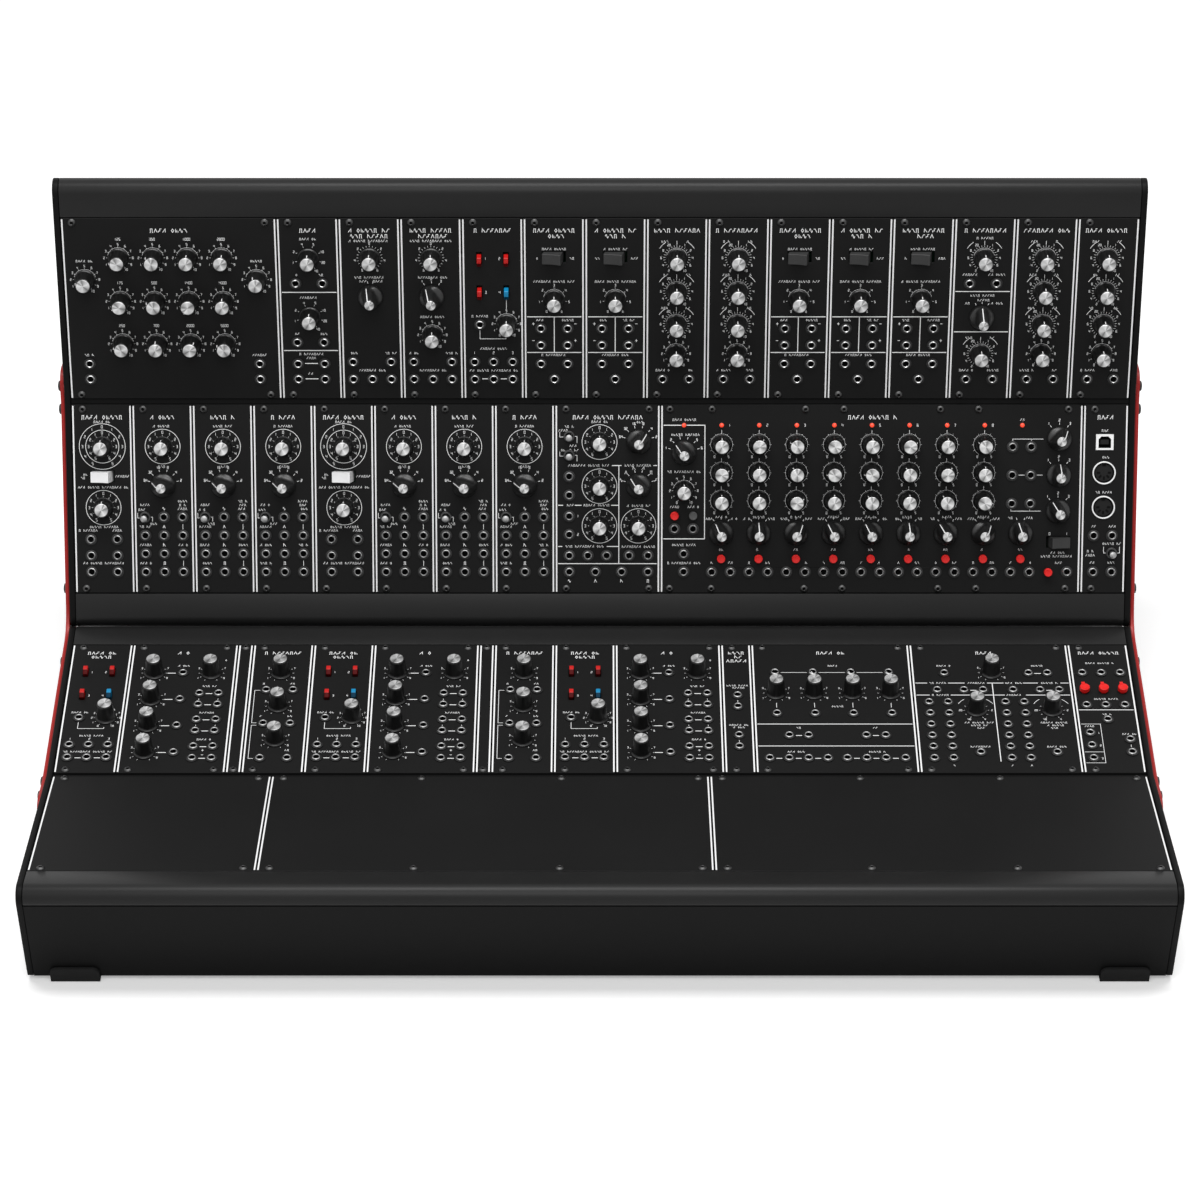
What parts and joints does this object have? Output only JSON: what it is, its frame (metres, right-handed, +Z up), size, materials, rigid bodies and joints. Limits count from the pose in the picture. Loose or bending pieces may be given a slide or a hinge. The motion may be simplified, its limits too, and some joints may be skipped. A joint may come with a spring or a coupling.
{
  "type": "modular synthesizer",
  "caption": "Rack of plug-in synthesizer modules with knobs, switches and patch sockets, its upper case stood up behind the lower one on red side plates.",
  "frame": {"origin": "on the floor, under the middle of the whole object's bounding box", "axes": "+X along the rows to the player's right, +Y from the player to the back, +Z up"},
  "size_m": [0.73, 0.4534, 0.3772],
  "materials": {
    "case_sheet": "black powder coat, satin",
    "fascia_sheet": "dark grey powder coat, satin",
    "faceplate": "black lacquer with white print, satin",
    "link_plate": "red powder coat, satin",
    "rail": "plain extrusion, matt",
    "foot_rubber": "black rubber, matt",
    "circuit_board": "green solder mask",
    "knob_plastic": "black plastic with a spun aluminium cap",
    "lever_red": "red plastic, gloss",
    "lever_blue": "blue plastic, gloss",
    "rocker_black": "black plastic, satin",
    "rocker_white": "white plastic, gloss",
    "button_red": "red plastic, satin",
    "toggle_metal": "nickel plate, polished"
  },
  "bodies": {
    "frame": {"lower_pan": "case_sheet", "lower_left_cheek": "case_sheet", "lower_right_cheek": "case_sheet", "lower_front_fascia": "fascia_sheet", "lower_rear_fascia": "fascia_sheet", "lower_centre_rail": "rail", "lower_power_board": "circuit_board", "upper_pan": "case_sheet", "upper_left_cheek": "case_sheet", "upper_right_cheek": "case_sheet", "upper_front_fascia": "fascia_sheet", "upper_rear_fascia": "fascia_sheet", "upper_centre_rail": "rail", "upper_power_board": "circuit_board", "left_link_plate": "link_plate", "right_link_plate": "link_plate", "front_left_foot": "foot_rubber", "front_right_foot": "foot_rubber", "rear_left_foot": "foot_rubber", "rear_right_foot": "foot_rubber", "filter_bank_module": "faceplate", "filter_modules": "faceplate", "left_amplifier_modules": "faceplate", "right_amplifier_modules": "faceplate", "left_oscillator_modules": "faceplate", "right_oscillator_modules": "faceplate", "wide_oscillator_module": "faceplate", "sequencer_module": "faceplate", "midi_module": "faceplate", "left_mixer_modules": "faceplate", "centre_mixer_modules": "faceplate", "right_mixer_modules": "faceplate", "attenuator_module": "faceplate", "interface_module": "faceplate", "sequential_switch_module": "faceplate", "left_blank_panel": "faceplate", "middle_blank_panel": "faceplate", "right_blank_panel": "faceplate"},
    "low_pass_cutoff_knob": {"low_pass_cutoff_knob": "knob_plastic"},
    "low_pass_range_selector": {"low_pass_range_selector": "knob_plastic"},
    "red_voltage_lever": {"red_voltage_lever": "lever_red"},
    "blue_voltage_lever": {"blue_voltage_lever": "lever_blue"},
    "amplifier_mode_rocker": {"amplifier_mode_rocker": "rocker_black"},
    "amplifier_level_knob": {"amplifier_level_knob": "knob_plastic"},
    "envelope_attack_knob": {"envelope_attack_knob": "knob_plastic"},
    "envelope_decay_knob": {"envelope_decay_knob": "knob_plastic"},
    "envelope_sustain_knob": {"envelope_sustain_knob": "knob_plastic"},
    "envelope_release_knob": {"envelope_release_knob": "knob_plastic"},
    "driver_frequency_knob": {"driver_frequency_knob": "knob_plastic"},
    "driver_step_rocker": {"driver_step_rocker": "rocker_white"},
    "oscillator_frequency_knob": {"oscillator_frequency_knob": "knob_plastic"},
    "oscillator_range_selector": {"oscillator_range_selector": "knob_plastic"},
    "oscillator_sync_toggle": {"oscillator_sync_toggle": "toggle_metal"},
    "sequencer_level_knob": {"sequencer_level_knob": "knob_plastic"},
    "sequencer_stage_selector": {"sequencer_stage_selector": "knob_plastic"},
    "sequencer_set_button": {"sequencer_set_button": "button_red"},
    "sequencer_start_button": {"sequencer_start_button": "button_red"},
    "sequencer_timing_rocker": {"sequencer_timing_rocker": "rocker_black"},
    "midi_mode_toggle": {"midi_mode_toggle": "toggle_metal"},
    "mixer_level_knob": {"mixer_level_knob": "knob_plastic"}
  },
  "joints": [
    {"name": "low_pass_cutoff_knob_turn", "type": "hinge", "parent": "frame", "child": "low_pass_cutoff_knob", "pos_m": [-0.11176, 0.14517, 0.32609], "axis": [0, -0.9932, 0.1167], "range_deg": [-150, 150]},
    {"name": "low_pass_range_selector_turn", "type": "hinge", "parent": "frame", "child": "low_pass_range_selector", "pos_m": [-0.11176, 0.14199, 0.29903], "axis": [0, -0.9932, 0.1167], "range_deg": [-60, 0]},
    {"name": "red_voltage_lever_turn", "type": "hinge", "parent": "frame", "child": "red_voltage_lever", "pos_m": [-0.08002, 0.1471, 0.32534], "axis": [1, 0, 0], "range_deg": [-32, 0]},
    {"name": "blue_voltage_lever_turn", "type": "hinge", "parent": "frame", "child": "blue_voltage_lever", "pos_m": [-0.06222, 0.14435, 0.30199], "axis": [1, 0, 0], "range_deg": [-32, 0]},
    {"name": "amplifier_mode_rocker_turn", "type": "hinge", "parent": "frame", "child": "amplifier_mode_rocker", "pos_m": [-0.03048, 0.14821, 0.32625], "axis": [0, 0.1167, 0.9932], "range_deg": [0, 24]},
    {"name": "amplifier_level_knob_turn", "type": "hinge", "parent": "frame", "child": "amplifier_level_knob", "pos_m": [-0.03048, 0.14175, 0.29699], "axis": [0, -0.9932, 0.1167], "range_deg": [-150, 150]},
    {"name": "envelope_attack_knob_turn", "type": "hinge", "parent": "frame", "child": "envelope_attack_knob", "pos_m": [0.0508, 0.14517, 0.32609], "axis": [0, -0.9932, 0.1167], "range_deg": [-150, 150]},
    {"name": "envelope_decay_knob_turn", "type": "hinge", "parent": "frame", "child": "envelope_decay_knob", "pos_m": [0.0508, 0.14241, 0.3026], "axis": [0, -0.9932, 0.1167], "range_deg": [-150, 150]},
    {"name": "envelope_sustain_knob_turn", "type": "hinge", "parent": "frame", "child": "envelope_sustain_knob", "pos_m": [0.0508, 0.1397, 0.2795], "axis": [0, -0.9932, 0.1167], "range_deg": [-150, 150]},
    {"name": "envelope_release_knob_turn", "type": "hinge", "parent": "frame", "child": "envelope_release_knob", "pos_m": [0.0508, 0.13723, 0.25845], "axis": [0, -0.9932, 0.1167], "range_deg": [-150, 150]},
    {"name": "driver_frequency_knob_turn", "type": "hinge", "parent": "frame", "child": "driver_frequency_knob", "pos_m": [-0.33528, 0.12181, 0.19571], "axis": [0, -0.9278, 0.373], "range_deg": [-150, 150]},
    {"name": "driver_step_rocker_turn", "type": "hinge", "parent": "frame", "child": "driver_step_rocker", "pos_m": [-0.33528, 0.11698, 0.17563], "axis": [0, 0.373, 0.9278], "range_deg": [0, 24]},
    {"name": "oscillator_frequency_knob_turn", "type": "hinge", "parent": "frame", "child": "oscillator_frequency_knob", "pos_m": [-0.29464, 0.12181, 0.19571], "axis": [0, -0.9278, 0.373], "range_deg": [-150, 150]},
    {"name": "oscillator_range_selector_turn", "type": "hinge", "parent": "frame", "child": "oscillator_range_selector", "pos_m": [-0.29464, 0.11204, 0.17138], "axis": [0, -0.9278, 0.373], "range_deg": [-150, 0]},
    {"name": "oscillator_sync_toggle_turn", "type": "hinge", "parent": "frame", "child": "oscillator_sync_toggle", "pos_m": [-0.30734, 0.10389, 0.15112], "axis": [0, 0.373, 0.9278], "range_deg": [-10, 10]},
    {"name": "sequencer_level_knob_turn", "type": "hinge", "parent": "frame", "child": "sequencer_level_knob", "pos_m": [0.08189, 0.12229, 0.1969], "axis": [0, -0.9278, 0.373], "range_deg": [-150, 150]},
    {"name": "sequencer_stage_selector_turn", "type": "hinge", "parent": "frame", "child": "sequencer_stage_selector", "pos_m": [0.08189, 0.09981, 0.14098], "axis": [0, -0.9278, 0.373], "range_deg": [-60, 0]},
    {"name": "sequencer_set_button_travel", "type": "slide", "parent": "frame", "child": "sequencer_set_button", "axis": [0, -0.9278, 0.373], "range_m": [-0.001, 0], "stiffness_N_per_m": 180},
    {"name": "sequencer_start_button_travel", "type": "slide", "parent": "frame", "child": "sequencer_start_button", "axis": [0, -0.9278, 0.373], "range_m": [-0.001, 0], "stiffness_N_per_m": 180},
    {"name": "sequencer_timing_rocker_turn", "type": "hinge", "parent": "frame", "child": "sequencer_timing_rocker", "pos_m": [0.30976, 0.10025, 0.13402], "axis": [0, 0.373, 0.9278], "range_deg": [-24, 0]},
    {"name": "midi_mode_toggle_turn", "type": "hinge", "parent": "frame", "child": "midi_mode_toggle", "pos_m": [0.34615, 0.09468, 0.12822], "axis": [0, 0.373, 0.9278], "range_deg": [-10, 10]},
    {"name": "mixer_level_knob_turn", "type": "hinge", "parent": "frame", "child": "mixer_level_knob", "pos_m": [-0.29818, 0.02655, 0.07562], "axis": [0, -0.1323, 0.9912], "range_deg": [-150, 150]}
  ]
}
